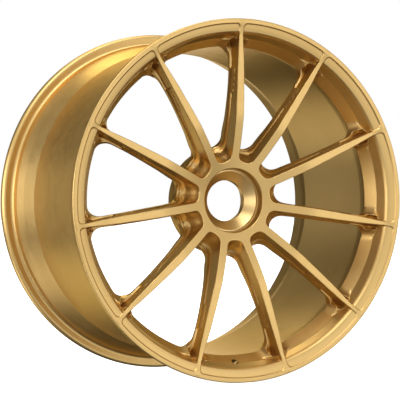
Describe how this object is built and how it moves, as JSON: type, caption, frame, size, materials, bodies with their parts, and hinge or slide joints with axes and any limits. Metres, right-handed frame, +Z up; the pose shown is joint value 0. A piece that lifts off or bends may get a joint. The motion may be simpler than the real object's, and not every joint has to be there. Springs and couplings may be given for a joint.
{
  "type": "forged racing wheel rim",
  "caption": "Forged centre-lock racing wheel rim with slim straight ribbed spokes, stepped front lip, long open barrel, conical nut seat and drive pin bushes.",
  "frame": {"origin": "on the wheel's axis, halfway between the outer faces of the two flanges", "axes": "+Y along the axis towards the vehicle, so the outer face looks towards -Y; +Z up through the first spoke; the valve hole is straight down"},
  "size_m": [0.5684, 0.3308, 0.5684],
  "materials": {
    "gold_paint": "satin metallic gold over forged aluminium",
    "seat_gold": "smooth anodised gold",
    "bush_steel": "turned steel"
  },
  "bodies": {
    "root": {"front_lip": "gold_paint", "barrel": "gold_paint", "rear_flange": "gold_paint", "hub": "gold_paint", "spoke_01": "gold_paint", "spoke_02": "gold_paint", "spoke_03": "gold_paint", "spoke_04": "gold_paint", "spoke_05": "gold_paint", "spoke_06": "gold_paint", "spoke_07": "gold_paint", "spoke_08": "gold_paint", "spoke_09": "gold_paint", "spoke_10": "gold_paint", "spoke_11": "gold_paint", "nut_seat_ring": "seat_gold", "drive_bush_1": "bush_steel", "drive_bush_2": "bush_steel", "drive_bush_3": "bush_steel", "drive_bush_4": "bush_steel", "drive_bush_5": "bush_steel"}
  },
  "joints": []
}
